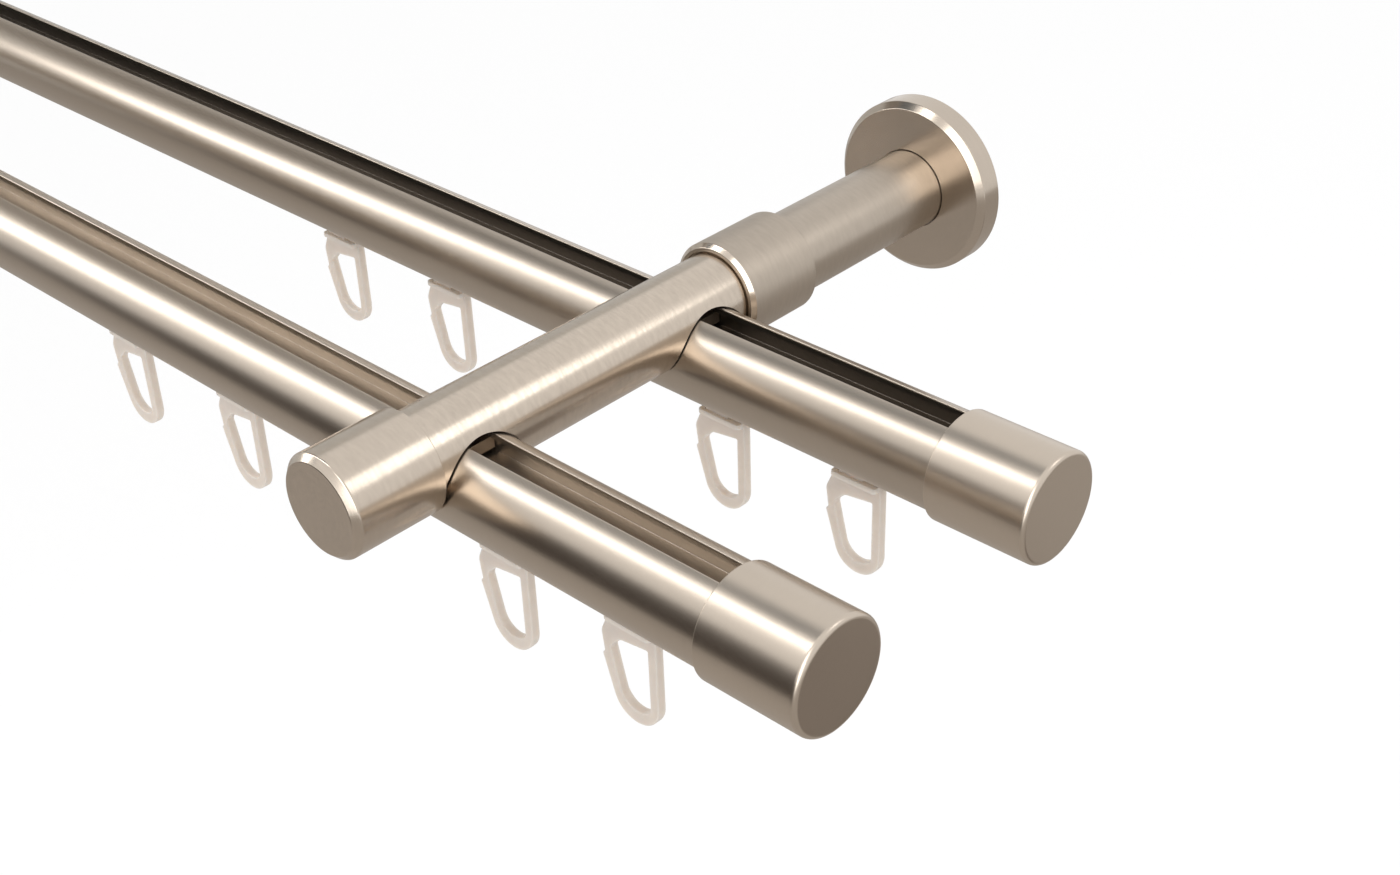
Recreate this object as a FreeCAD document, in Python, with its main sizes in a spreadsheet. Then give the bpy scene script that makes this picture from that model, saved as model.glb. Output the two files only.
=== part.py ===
import FreeCAD, Part
import math
import os
from types import SimpleNamespace

import Sketcher

# Double curtain pole on two wall brackets: two round inner-track poles that hang
# in saddles under round bracket arms, with end caps and sliding curtain gliders.
# Millimetres. X runs along the poles, +Y points into the wall, Z is up. The
# origin is on the wall, midway between the brackets, on the line of the arms.

SIZES = SimpleNamespace(
    # Poles
    pole_length=1000.0,
    pole_diameter=20.0,
    pole_pitch=61.0,            # front pole axis to rear pole axis
    front_reach=143.0,          # wall to front pole axis
    channel_opening=6.0,        # open slot along the top of each pole
    channel_width=8.8,
    channel_lip=1.9,            # pole top to the underside of the lips
    channel_depth=5.4,          # pole top to the channel floor
    slot_width=4.4,             # slot along the bottom, for the glider necks
    slot_lip=2.1,               # pole bottom to the top of the slot's lips
    runway_width=9.6,           # inner track in which the gliders run
    runway_height=4.8,
    web=1.4,                    # metal between the hollow and both channels
    pole_wall=1.6,              # metal beside the hollow
    hollow_round=2.0,
    lip_round=0.5,
    # End caps
    end_cap_wall=1.05,
    end_cap_cover=19.8,         # length of pole inside the cap
    end_cap_floor=2.0,
    end_cap_chamfer=1.0,
    edge_break=0.3,
    # Bracket arms
    overhang_length=90.0,       # arm axis to the end of the poles
    arm_diameter=18.0,
    arm_rise=6.7,               # arm axis above the pole axes
    saddle_clearance=0.35,      # saddle radius over pole radius
    arm_in_cap=13.5,
    # Caps on the front ends of the arms
    front_cap_wall=1.45,
    front_cap_gap=0.4,          # front pole to the rear face of the cap
    front_cap_floor=6.8,
    front_cap_chamfer=1.3,
    # Sleeves that join each arm to its wall bar
    sleeve_wall=1.95,
    sleeve_length=19.5,
    sleeve_gap=0.3,             # rear pole to the mouth of the sleeve
    sleeve_chamfer=0.9,
    sleeve_mouth_step=0.75,     # recess round the arm at the sleeve's mouth
    sleeve_mouth_depth=1.2,
    arm_in_sleeve=10.0,
    # Set screws under the sleeves
    set_screw_diameter=5.0,
    set_screw_offset=5.5,       # sleeve mouth to the screw's axis
    set_screw_seat=0.6,         # depth of the screw's seat in the arm
    set_screw_key=2.5,          # across the flats of the hexagon socket
    set_screw_socket=1.4,
    # Hangers that hold the poles in the saddles
    hanger_stem=5.0,
    hanger_hole_depth=3.2,      # above the top of the saddle
    hanger_head_length=14.0,
    hanger_head_side_gap=0.3,
    hanger_head_height=2.6,
    # Wall roses and the threaded ends of the wall bars
    rose_diameter=40.0,
    rose_thickness=6.6,
    rose_chamfer=1.4,
    thread_diameter=6.8,        # core of an M8 thread
    thread_depth=22.0,
    drill_tip=2.0,
    # Clearance of a piece pushed or screwed onto its neighbour, per side
    push_fit=0.05,
    # Gliders
    glider_width=13.7,
    glider_drop=35.2,           # pole axis to the bottom of the loop
    loop_depth=2.0,             # across the pole
    loop_leg=2.1,
    loop_foot=2.8,
    loop_lean=1.15,             # loop's bottom is off centre by this
    loop_bend=5.7,
    loop_inner_lean=1.35,
    loop_inner_bend=4.1,
    loop_inner_corner=1.0,      # round where the inner bend meets the straight leg
    loop_bar=3.4,               # closed bar between flange and opening
    loop_bar_fall=1.0,          # the bar gets thicker by this towards the leaning leg
    loop_gusset=2.7,            # slanted corner of the opening at the leaning leg
    loop_ledge=0.8,             # flange to the top of the straight leg
    loop_shoulder=4.3,          # flange to the widest point of the loop
    loop_catch=9.5,             # flange to the catch on the leaning leg
    loop_catch_step=0.6,
    loop_chamfer=0.55,
    flange_length=11.2,
    flange_offset=0.9,          # the flange's middle is off centre by this
    flange_width=5.0,
    flange_height=1.2,
    flange_round=0.8,
    flange_gap=2.2,             # pole bottom to the top of the flange
    neck_length=6.0,
    neck_side_gap=0.4,
    head_length=11.0,
    head_height=2.0,
    head_side_gap=0.4,
    running_gap=0.05,
    # Places of the gliders: outer from the rim of the end cap, inner outwards of the
    # arm's axis, near and far inwards of it
    front_glider_outer=25.4,
    front_glider_inner=11.9,
    front_glider_near=71.6,
    front_glider_far=112.2,
    rear_glider_outer=24.0,
    rear_glider_inner=11.0,
    rear_glider_near=74.6,
    rear_glider_far=113.3,
)

# How closely two measured places must agree to count as the same
SAME_PLACE = 1e-4

# The most of a wall's width that the round of one corner may take
ROUND_SHARE = 0.45

# Distance across the flats of a hexagon over the radius to its corners
HEXAGON_FLATS = math.sqrt(3)


class Size:
    """A length: its formula in the sheet's names, and what it comes to now."""

    def __init__(self, formula, value):
        self.formula = formula
        self.value = value

    def combine(self, other, sign, result):
        other_formula = other.formula if isinstance(other, Size) else repr(other)
        return Size(f"({self.formula} {sign} {other_formula})", result)

    def __add__(self, other):
        return self.combine(other, "+", self.value + number(other))

    def __sub__(self, other):
        return self.combine(other, "-", self.value - number(other))

    def __mul__(self, other):
        return self.combine(other, "*", self.value * number(other))

    def __truediv__(self, other):
        return self.combine(other, "/", self.value / number(other))

    def __neg__(self):
        return Size(f"(-1 * {self.formula})", -self.value)

    def at_most(self, limit):
        """This size, or the limit where that is less."""
        return Size(f"min({self.formula}; {limit.formula})", min(self.value, limit.value))


def number(length):
    """The present value of a size or a plain number."""
    return length.value if isinstance(length, Size) else length


def formula(length):
    """The formula of a size, or a plain number as text."""
    return length.formula if isinstance(length, Size) else repr(length)


doc = FreeCAD.newDocument("double_curtain_pole")
sheet = doc.addObject("Spreadsheet::Sheet", "dims")
for row, (name, size) in enumerate(vars(SIZES).items(), start=1):
    sheet.set(f"A{row}", name)
    sheet.set(f"B{row}", str(size))
    sheet.setAlias(f"B{row}", name)
doc.recompute()

S = SimpleNamespace(**{
    name: Size(f"dims.{name}", size) for name, size in vars(SIZES).items()
})
ZERO = Size("0", 0.0)

# Sizes and places that follow from the driving sizes
pole_radius = S.pole_diameter / 2
arm_radius = S.arm_diameter / 2
front_y = -S.front_reach
rear_y = front_y + S.pole_pitch
pole_z = -S.arm_rise
saddle_radius = pole_radius + S.saddle_clearance
front_cap_rear_y = front_y - pole_radius - S.front_cap_gap
arm_front_y = front_cap_rear_y - S.arm_in_cap
front_cap_face_y = arm_front_y - S.front_cap_floor
sleeve_front_y = rear_y + pole_radius + S.sleeve_gap
sleeve_rear_y = sleeve_front_y + S.sleeve_length
arm_rear_y = sleeve_front_y + S.arm_in_sleeve
arm_bore = arm_radius + S.push_fit
pole_bore = pole_radius + S.push_fit
sleeve_radius = arm_bore + S.sleeve_wall
pole_end_x = S.pole_length / 2
end_cap_rim_x = pole_end_x - S.end_cap_cover
bracket_x = pole_end_x - S.overhang_length


def bind(target, path, length):
    """Tie one property of an object to a size of the sheet."""
    target.setExpression(path, formula(length))


def place(target, x=ZERO, y=ZERO, z=ZERO):
    """Tie an object's position to the sheet."""
    for axis, length in (("x", x), ("y", y), ("z", z)):
        bind(target, f"Placement.Base.{axis}", length)


def new_body(name):
    body = doc.addObject("PartDesign::Body", name)
    body.Label = name
    return body


def new_sketch(body, name, plane, offset=None):
    """A sketch on one of the body's own origin planes, moved along its normal."""
    sketch = body.newObject("Sketcher::SketchObject", name)
    origin_plane = next(item for item in body.Origin.OriginFeatures if item.Role == plane)
    sketch.AttachmentSupport = (origin_plane, "")
    sketch.MapMode = "FlatFace"
    if offset is not None:
        bind(sketch, "AttachmentOffset.Base.z", offset)
    return sketch


def fix_point(sketch, item, end, point):
    """Hold one point of a sketch at two sizes from the sketch's origin."""
    for kind, length in zip(("DistanceX", "DistanceY"), point):
        if isinstance(length, Size) and length is not ZERO:
            index = sketch.addConstraint(Sketcher.Constraint(kind, -1, 1, item, end, length.value))
            sketch.setExpression(f"Constraints[{index}]", length.formula)
        else:
            axis = -2 if kind == "DistanceX" else -1
            sketch.addConstraint(Sketcher.Constraint("PointOnObject", item, end, axis))


def vector(point):
    return FreeCAD.Vector(number(point[0]), number(point[1]), 0)


def draw_polygon(sketch, points):
    """A closed outline of straight lines, each corner held at its sizes."""
    first = sketch.GeometryCount
    count = len(points)
    for index in range(count):
        line = Part.LineSegment(vector(points[index]), vector(points[(index + 1) % count]))
        sketch.addGeometry(line, False)
    for index in range(count):
        following = first + (index + 1) % count
        sketch.addConstraint(Sketcher.Constraint("Coincident", first + index, 2, following, 1))
        fix_point(sketch, first + index, 1, points[index])


def draw_circle(sketch, centre, radius):
    """A circle held at its centre and radius."""
    circle = Part.Circle(vector(centre), FreeCAD.Vector(0, 0, 1), radius.value)
    item = sketch.addGeometry(circle, False)
    fix_point(sketch, item, 3, centre)
    index = sketch.addConstraint(Sketcher.Constraint("Radius", item, radius.value))
    sketch.setExpression(f"Constraints[{index}]", radius.formula)


def tangent_point(point, centre, radius, side):
    """Where a line from a point touches a circle, on the given side."""
    away = vector(point) - vector(centre)
    reach = math.acos(radius.value / away.Length)
    angle = math.atan2(away.y, away.x) + side * reach
    return vector(centre) + FreeCAD.Vector(math.cos(angle), math.sin(angle), 0) * radius.value


def point_below(point, centre, radius):
    """Where a line straight down from a point leaves a circle."""
    across = number(point[0]) - number(centre[0])
    drop = math.sqrt(radius.value ** 2 - across ** 2)
    return FreeCAD.Vector(number(point[0]), number(centre[1]) - drop, 0)


def draw_bag(sketch, points, centre, radius, corner=False):
    """An open chain of corners closed by a bend that it runs into smoothly.

    With corner the chain starts straight down and meets the bend at a corner there.
    """
    if corner:
        start = point_below(points[0], centre, radius)
    else:
        start = tangent_point(points[0], centre, radius, -1)
    end = tangent_point(points[-1], centre, radius, 1)
    corners = [start] + [vector(point) for point in points] + [end]
    first = sketch.GeometryCount
    for here, following in zip(corners, corners[1:]):
        sketch.addGeometry(Part.LineSegment(here, following), False)
    last = sketch.GeometryCount - 1
    spokes = [point - vector(centre) for point in (end, start)]
    angles = [math.atan2(spoke.y, spoke.x) for spoke in spokes]
    circle = Part.Circle(vector(centre), FreeCAD.Vector(0, 0, 1), radius.value)
    bend = sketch.addGeometry(Part.ArcOfCircle(circle, angles[0], angles[1]), False)
    for index, point in enumerate(points):
        item = first + index
        sketch.addConstraint(Sketcher.Constraint("Coincident", item, 2, item + 1, 1))
        fix_point(sketch, item, 2, point)
    fix_point(sketch, bend, 3, centre)
    index = sketch.addConstraint(Sketcher.Constraint("Radius", bend, radius.value))
    sketch.setExpression(f"Constraints[{index}]", radius.formula)
    sketch.addConstraint(Sketcher.Constraint("Tangent", last, 2, bend, 1))
    if corner:
        sketch.addConstraint(Sketcher.Constraint("Coincident", first, 1, bend, 2))
        sketch.addConstraint(Sketcher.Constraint("Vertical", first))
    else:
        sketch.addConstraint(Sketcher.Constraint("Tangent", first, 1, bend, 2))


def pad(body, sketch, name, length, midplane=False, reverse=False):
    feature = body.newObject("PartDesign::Pad", name)
    feature.Profile = sketch
    bind(feature, "Length", length)
    feature.Midplane = midplane
    feature.Reversed = reverse
    return feature


def pocket(body, sketch, name, length, midplane=False, reverse=False):
    feature = body.newObject("PartDesign::Pocket", name)
    feature.Profile = sketch
    bind(feature, "Length", length)
    feature.Midplane = midplane
    feature.Reversed = reverse
    return feature


def turned(name, profile, axis):
    """A body turned about the sketch's own axis from a closed half section."""
    body = new_body(name)
    sketch = new_sketch(body, f"{name}_section", "XY_Plane")
    draw_polygon(sketch, profile)
    turn = body.newObject("PartDesign::Revolution", f"{name}_turned")
    turn.Profile = sketch
    turn.ReferenceAxis = (sketch, [axis])
    turn.Angle = 360
    return body


def round_edges(body, kind, name, radius, wanted):
    """Round or chamfer every edge of the body whose ends pass a test."""
    doc.recompute()
    base = body.Tip
    names = [
        f"Edge{index}"
        for index, edge in enumerate(base.Shape.Edges, start=1)
        if wanted(edge)
    ]
    feature = body.newObject(f"PartDesign::{kind}", name)
    feature.Base = (base, names)
    bind(feature, "Radius" if kind == "Fillet" else "Size", radius)
    return feature


def near(value, target):
    return abs(value - number(target)) < SAME_PLACE


def lengthwise_edge(edge, half_width, height_test):
    """True for a straight edge along the pole at a given distance from its middle."""
    ends = [vertex.Point for vertex in edge.Vertexes]
    if len(ends) != 2 or near(ends[0].x, ends[1].x):
        return False
    same_place = near(ends[0].y, ends[1].y) and near(ends[0].z, ends[1].z)
    return same_place and near(abs(ends[0].y), half_width) and height_test(ends[0].z)


def make_pole(name, y):
    """An extruded pole: open channel on top, inner track below, hollow between."""
    body = new_body(name)
    outline = new_sketch(body, f"{name}_outline", "YZ_Plane")
    draw_circle(outline, (ZERO, ZERO), pole_radius)
    pad(body, outline, f"{name}_bar", S.pole_length, midplane=True)

    lip_z = pole_radius - S.channel_lip
    floor_z = pole_radius - S.channel_depth
    opening = S.channel_opening / 2
    channel = S.channel_width / 2
    above = S.pole_diameter
    top_channel = new_sketch(body, f"{name}_channel_section", "YZ_Plane")
    draw_polygon(top_channel, [
        (-opening, above), (-opening, lip_z), (-channel, lip_z), (-channel, floor_z),
        (channel, floor_z), (channel, lip_z), (opening, lip_z), (opening, above),
    ])
    pocket(body, top_channel, f"{name}_channel", S.pole_length, midplane=True)

    shelf_z = S.slot_lip - pole_radius
    roof_z = shelf_z + S.runway_height
    slot = S.slot_width / 2
    runway = S.runway_width / 2
    track = new_sketch(body, f"{name}_track_section", "YZ_Plane")
    draw_polygon(track, [
        (-slot, -above), (slot, -above), (slot, shelf_z), (runway, shelf_z),
        (runway, roof_z), (-runway, roof_z), (-runway, shelf_z), (-slot, shelf_z),
    ])
    pocket(body, track, f"{name}_track", S.pole_length, midplane=True)

    hollow_top = floor_z - S.web
    hollow_bottom = roof_z + S.web
    hollow_side = pole_radius - S.pole_wall
    hollow = new_sketch(body, f"{name}_hollow_section", "YZ_Plane")
    draw_polygon(hollow, [
        (-hollow_side, hollow_bottom), (hollow_side, hollow_bottom),
        (hollow_side, hollow_top), (-hollow_side, hollow_top),
    ])
    pocket(body, hollow, f"{name}_hollow", S.pole_length, midplane=True)

    hollow_corner = S.hollow_round.at_most((hollow_top - hollow_bottom) * ROUND_SHARE)
    round_edges(body, "Fillet", f"{name}_hollow_corners", hollow_corner,
                lambda edge: lengthwise_edge(edge, hollow_side, lambda z: True))
    round_edges(body, "Fillet", f"{name}_channel_lips", S.lip_round,
                lambda edge: lengthwise_edge(edge, opening, lambda z: z > lip_z.value + SAME_PLACE))
    round_edges(body, "Fillet", f"{name}_slot_lips", S.lip_round,
                lambda edge: lengthwise_edge(edge, slot, lambda z: z < shelf_z.value - SAME_PLACE))
    place(body, y=y, z=pole_z)
    return body


def make_end_cap(name, y, side):
    """A turned cap that is pushed over the end of a pole."""
    outer = pole_bore + S.end_cap_wall
    rim = end_cap_rim_x
    face = pole_end_x + S.end_cap_floor
    profile = [
        (rim, pole_bore), (rim, outer - S.edge_break), (rim + S.edge_break, outer),
        (face - S.end_cap_chamfer, outer), (face, outer - S.end_cap_chamfer),
        (face, ZERO), (pole_end_x, ZERO), (pole_end_x, pole_bore),
    ]
    if side < 0:
        profile = [(-along, across) for along, across in profile]
    body = turned(name, profile, "H_Axis")
    place(body, y=y, z=pole_z)
    return body


def make_arm(name, x):
    """The round bar across both poles, with a saddle bored from below for each."""
    body = new_body(name)
    section = new_sketch(body, f"{name}_section", "XZ_Plane", -arm_rear_y)
    draw_circle(section, (ZERO, ZERO), arm_radius)
    pad(body, section, f"{name}_bar", arm_rear_y - arm_front_y)

    saddles = new_sketch(body, f"{name}_saddle_circles", "YZ_Plane")
    for y in (front_y, rear_y):
        draw_circle(saddles, (y, pole_z), saddle_radius)
    pocket(body, saddles, f"{name}_saddles", S.arm_diameter * 2, midplane=True)

    hanger_holes = new_sketch(body, f"{name}_hanger_circles", "XY_Plane")
    for y in (front_y, rear_y):
        draw_circle(hanger_holes, (ZERO, y), S.hanger_stem / 2 + S.push_fit)
    pocket(body, hanger_holes, f"{name}_hanger_holes", hanger_top_z, reverse=True)

    seat = new_sketch(body, f"{name}_seat_circle", "XY_Plane", -arm_radius)
    draw_circle(seat, (ZERO, set_screw_y), S.set_screw_diameter / 2 + S.push_fit)
    pocket(body, seat, f"{name}_screw_seat", S.set_screw_seat, reverse=True)
    place(body, x=x)
    return body


def make_front_cap(name, x):
    """A turned cap that closes the front end of an arm."""
    outer = arm_bore + S.front_cap_wall
    body = turned(name, [
        (arm_bore, front_cap_rear_y), (outer - S.edge_break, front_cap_rear_y),
        (outer, front_cap_rear_y - S.edge_break),
        (outer, front_cap_face_y + S.front_cap_chamfer),
        (outer - S.front_cap_chamfer, front_cap_face_y), (ZERO, front_cap_face_y),
        (ZERO, arm_front_y), (arm_bore, arm_front_y),
    ], "V_Axis")
    place(body, x=x)
    return body


def make_sleeve(name, x):
    """The turned sleeve over the arm and the wall bar, with a stepped mouth."""
    outer = sleeve_radius
    mouth = arm_bore + S.sleeve_mouth_step
    mouth_floor_y = sleeve_front_y + S.sleeve_mouth_depth
    body = turned(name, [
        (mouth, sleeve_front_y), (outer - S.sleeve_chamfer, sleeve_front_y),
        (outer, sleeve_front_y + S.sleeve_chamfer), (outer, sleeve_rear_y - S.edge_break),
        (outer - S.edge_break, sleeve_rear_y), (arm_bore, sleeve_rear_y),
        (arm_bore, mouth_floor_y), (mouth, mouth_floor_y),
    ], "V_Axis")
    screw_hole = new_sketch(body, f"{name}_screw_circle", "XY_Plane")
    draw_circle(screw_hole, (ZERO, set_screw_y), S.set_screw_diameter / 2 + S.push_fit)
    pocket(body, screw_hole, f"{name}_screw_hole", sleeve_radius * 2)
    place(body, x=x)
    return body


def make_wall_bar(name, x):
    """The round bar between sleeve and wall, threaded for the wall's stud."""
    thread = S.thread_diameter / 2
    body = turned(name, [
        (ZERO, arm_rear_y), (arm_radius, arm_rear_y), (arm_radius, ZERO), (thread, ZERO),
        (thread, -S.thread_depth), (ZERO, -(S.thread_depth + S.drill_tip)),
    ], "V_Axis")
    place(body, x=x)
    return body


def make_rose(name, x):
    """The round wall rose that is slid over the wall bar."""
    outer = S.rose_diameter / 2
    face = -S.rose_thickness
    body = turned(name, [
        (arm_bore, face), (outer - S.rose_chamfer, face), (outer, face + S.rose_chamfer),
        (outer, -S.edge_break), (outer - S.edge_break, ZERO), (arm_bore, ZERO),
    ], "V_Axis")
    place(body, x=x)
    return body


def make_hanger(name, x, y):
    """A flat head that lies in a pole's channel, with a stem up into the arm."""
    head = doc.addObject("Part::Box", f"{name}_head")
    width = S.channel_width - S.hanger_head_side_gap * 2
    bind(head, "Length", S.hanger_head_length)
    bind(head, "Width", width)
    bind(head, "Height", S.hanger_head_height)
    head_bottom = channel_roof_z - S.hanger_head_height
    place(head, x - S.hanger_head_length / 2, y - width / 2, head_bottom)
    stem = doc.addObject("Part::Cylinder", f"{name}_stem")
    bind(stem, "Radius", S.hanger_stem / 2)
    bind(stem, "Height", hanger_top_z - head_bottom)
    place(stem, x, y, head_bottom)
    hanger = doc.addObject("Part::Fuse", name)
    hanger.Base = head
    hanger.Tool = stem
    return hanger


def make_set_screw(name, x):
    """A headless screw from below, flush with the sleeve, on its seat in the arm."""
    bottom = -sleeve_radius
    top = S.set_screw_seat - arm_radius
    shank = doc.addObject("Part::Cylinder", f"{name}_shank")
    bind(shank, "Radius", S.set_screw_diameter / 2)
    bind(shank, "Height", top - bottom)
    place(shank, x, set_screw_y, bottom)
    socket = doc.addObject("Part::Prism", f"{name}_socket")
    socket.Polygon = 6
    bind(socket, "Circumradius", S.set_screw_key / HEXAGON_FLATS)
    bind(socket, "Height", S.set_screw_socket)
    place(socket, x, set_screw_y, bottom)
    screw = doc.addObject("Part::Cut", name)
    screw.Base = shank
    screw.Tool = socket
    return screw


def group(name, members):
    """Like fasteners as one sub-part of separate solids."""
    compound = doc.addObject("Part::Compound", name)
    compound.Links = members
    compound.Label = name
    return compound


def draw_block(body, name, left, right, top, bottom, depth):
    """A block of the glider, centred on the pole's middle plane."""
    sketch = new_sketch(body, f"{name}_outline", "XZ_Plane")
    draw_polygon(sketch, [(left, bottom), (right, bottom), (right, top), (left, top)])
    return pad(body, sketch, name, depth, midplane=True)


def upright_edge(edge, left, right, top, bottom):
    """True for a vertical edge at the ends of a glider's block."""
    ends = [vertex.Point for vertex in edge.Vertexes]
    if len(ends) != 2:
        return False
    heights = sorted(end.z for end in ends)
    upright = near(heights[0], bottom) and near(heights[1], top)
    return upright and all(near(end.x, left) or near(end.x, right) for end in ends)


def make_glider(name, x, y):
    """A moulded glider: head in the track, neck, flange and a closed hook loop."""
    body = new_body(name)
    half = S.glider_width / 2
    flange_top = -(pole_radius + S.flange_gap)
    flange_bottom = flange_top - S.flange_height
    flange_middle = flange_top - S.flange_height / 2
    flange_left = S.flange_offset - S.flange_length / 2
    flange_right = S.flange_offset + S.flange_length / 2
    bend_centre = (S.loop_lean, S.loop_bend - S.glider_drop)
    catch_z = flange_bottom - S.loop_catch
    catch_inner = S.loop_catch_step - half
    loop = new_sketch(body, f"{name}_loop_outline", "XZ_Plane")
    draw_bag(loop, [
        (half, flange_bottom - S.loop_ledge), (flange_right, flange_middle),
        (flange_left, flange_middle), (-half, flange_bottom - S.loop_shoulder),
        (catch_inner, catch_z + S.loop_catch_step), (-half, catch_z),
    ], bend_centre, S.loop_bend)

    opening_right = half - S.loop_leg
    opening_left = S.loop_leg - half
    opening_top = flange_bottom - S.loop_bar
    fallen_top = opening_top - S.loop_bar_fall
    inner_centre = (S.loop_inner_lean, S.loop_foot + S.loop_inner_bend - S.glider_drop)
    draw_bag(loop, [
        (opening_right, opening_top), (opening_left + S.loop_gusset, fallen_top),
        (opening_left, fallen_top - S.loop_gusset),
    ], inner_centre, S.loop_inner_bend, corner=True)
    pad(body, loop, f"{name}_loop", S.loop_depth, midplane=True)
    face_y = S.loop_depth / 2

    def inner_corner_edge(edge):
        ends = [vertex.Point for vertex in edge.Vertexes]
        low = all(near(end.x, opening_right) and end.z < number(inner_centre[1]) for end in ends)
        return low and not near(ends[0].y, ends[-1].y)

    def outline_edge(edge):
        ends = [vertex.Point for vertex in edge.Vertexes]
        on_face = all(near(abs(end.y), face_y) for end in ends)
        same_face = on_face and near(ends[0].y, ends[-1].y)
        return same_face and not all(near(end.z, flange_middle) for end in ends)

    round_edges(body, "Fillet", f"{name}_inner_corner", S.loop_inner_corner, inner_corner_edge)
    round_edges(body, "Chamfer", f"{name}_loop_edges", S.loop_chamfer, outline_edge)

    draw_block(body, f"{name}_flange", flange_left, flange_right, flange_top, flange_bottom,
               S.flange_width)
    round_edges(body, "Fillet", f"{name}_flange_ends", S.flange_round,
                lambda edge: upright_edge(edge, flange_left, flange_right, flange_top,
                                          flange_bottom))
    head_bottom = S.slot_lip - pole_radius + S.running_gap
    half_neck = S.neck_length / 2
    half_head = S.head_length / 2
    draw_block(body, f"{name}_neck", -half_neck, half_neck, head_bottom, flange_top,
               S.slot_width - S.neck_side_gap * 2)
    draw_block(body, f"{name}_head", -half_head, half_head, head_bottom + S.head_height,
               head_bottom, S.runway_width - S.head_side_gap * 2)
    place(body, x, y, pole_z)
    return body


# Places that several pieces share
channel_roof_z = pole_z + pole_radius - S.channel_lip
hanger_top_z = pole_z + saddle_radius + S.hanger_hole_depth
set_screw_y = sleeve_front_y + S.set_screw_offset

SIDES = {"right": 1, "left": -1}
POLES = {"front": front_y, "rear": rear_y}

parts = []
hangers = []
set_screws = []
for side_name, side in SIDES.items():
    x = bracket_x * side
    parts.append(make_rose(f"wall_rose_{side_name}", x))
    parts.append(make_wall_bar(f"wall_bar_{side_name}", x))
    parts.append(make_sleeve(f"sleeve_{side_name}", x))
    parts.append(make_arm(f"arm_{side_name}", x))
    parts.append(make_front_cap(f"arm_front_cap_{side_name}", x))
    set_screws.append(make_set_screw(f"set_screw_{side_name}", x))
    for pole_name, y in POLES.items():
        hangers.append(make_hanger(f"hanger_{pole_name}_{side_name}", x, y))
        parts.append(make_end_cap(f"{pole_name}_end_cap_{side_name}", y, side))
parts.append(group("sleeve_set_screws", set_screws))
parts.append(group("pole_hangers", hangers))

for pole_name, y in POLES.items():
    parts.append(make_pole(f"{pole_name}_pole", y))
    outer, inner, near_arm, far = (
        getattr(S, f"{pole_name}_glider_{word}") for word in ("outer", "inner", "near", "far")
    )
    right_places = [
        end_cap_rim_x - outer, bracket_x + inner, bracket_x - near_arm, bracket_x - far,
    ]
    left_places = [-place_x for place_x in reversed(right_places)]
    for index, glider_x in enumerate(right_places + left_places, start=1):
        parts.append(make_glider(f"{pole_name}_glider_{index}", glider_x, y))

doc.recompute()

for item in doc.Objects:
    if "Invalid" in item.State or "Error" in item.State:
        raise RuntimeError(f"{item.Label} could not be computed: {item.State}")
for part in parts:
    if part.Shape.isNull() or not part.Shape.isValid():
        raise RuntimeError(f"{part.Label} has no valid shape")

os.makedirs("parts", exist_ok=True)
for part in parts:
    part.Shape.exportStep(f"parts/{part.Label}.step")
    print(f"{part.Label}: {len(part.Shape.Solids)} solid(s), {part.Shape.Volume:.1f} mm3")
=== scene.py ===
import math

import bmesh
import bpy
from bpy.props import FloatProperty, FloatVectorProperty, PointerProperty
from bpy.types import Operator, Panel, PropertyGroup
from mathutils import Matrix, Vector


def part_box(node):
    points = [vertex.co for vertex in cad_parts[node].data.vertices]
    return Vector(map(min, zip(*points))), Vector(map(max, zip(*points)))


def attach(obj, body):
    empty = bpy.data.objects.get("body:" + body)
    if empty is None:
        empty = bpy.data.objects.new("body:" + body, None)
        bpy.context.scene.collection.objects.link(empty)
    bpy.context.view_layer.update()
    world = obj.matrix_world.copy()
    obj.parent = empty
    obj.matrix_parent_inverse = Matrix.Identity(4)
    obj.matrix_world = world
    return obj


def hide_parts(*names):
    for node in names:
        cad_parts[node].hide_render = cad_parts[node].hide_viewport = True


bl_info = {
    "name": "Double Curtain Pole",
    "version": (1, 0, 0),
    "blender": (4, 5, 0),
    "location": "3D View > Sidebar > Curtain Pole",
    "description": "Gives a double curtain pole its turned, drawn and moulded pieces and finish",
    "category": "Object",
}

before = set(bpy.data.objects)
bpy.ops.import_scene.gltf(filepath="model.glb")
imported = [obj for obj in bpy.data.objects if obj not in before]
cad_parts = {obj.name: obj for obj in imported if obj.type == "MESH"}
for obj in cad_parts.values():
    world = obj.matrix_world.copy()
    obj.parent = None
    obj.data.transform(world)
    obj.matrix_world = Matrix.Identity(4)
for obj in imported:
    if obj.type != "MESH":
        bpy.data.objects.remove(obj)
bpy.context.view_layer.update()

MM = 0.001
SIDES = ("right", "left")
POLES = ("front", "rear")
GLIDERS_PER_POLE = 8
GLIDERS = tuple(f"{pole}_glider_{number}"
                for pole in POLES for number in range(1, GLIDERS_PER_POLE + 1))
MAIN_BODY = "brackets_and_poles"

# Faces per round
TURNED_STEPS = 144          # round a turned piece
LARGE_ROUND = 0.5 * MM      # a turned edge rounded by this or more takes the larger number
LARGE_ROUND_STEPS = 9
SMALL_ROUND_STEPS = 3
FINE_STEPS = 2              # saddle, head, neck and flange edges
LIP_STEPS = 5               # outer edges of a pole's lips
CORNER_STEPS = 6            # corners inside a pole and of a flange
LOOP_BEND_STEPS = 28
LOOP_CORNER_STEPS = 4
LOOP_EDGE_STEPS = 3

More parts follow.
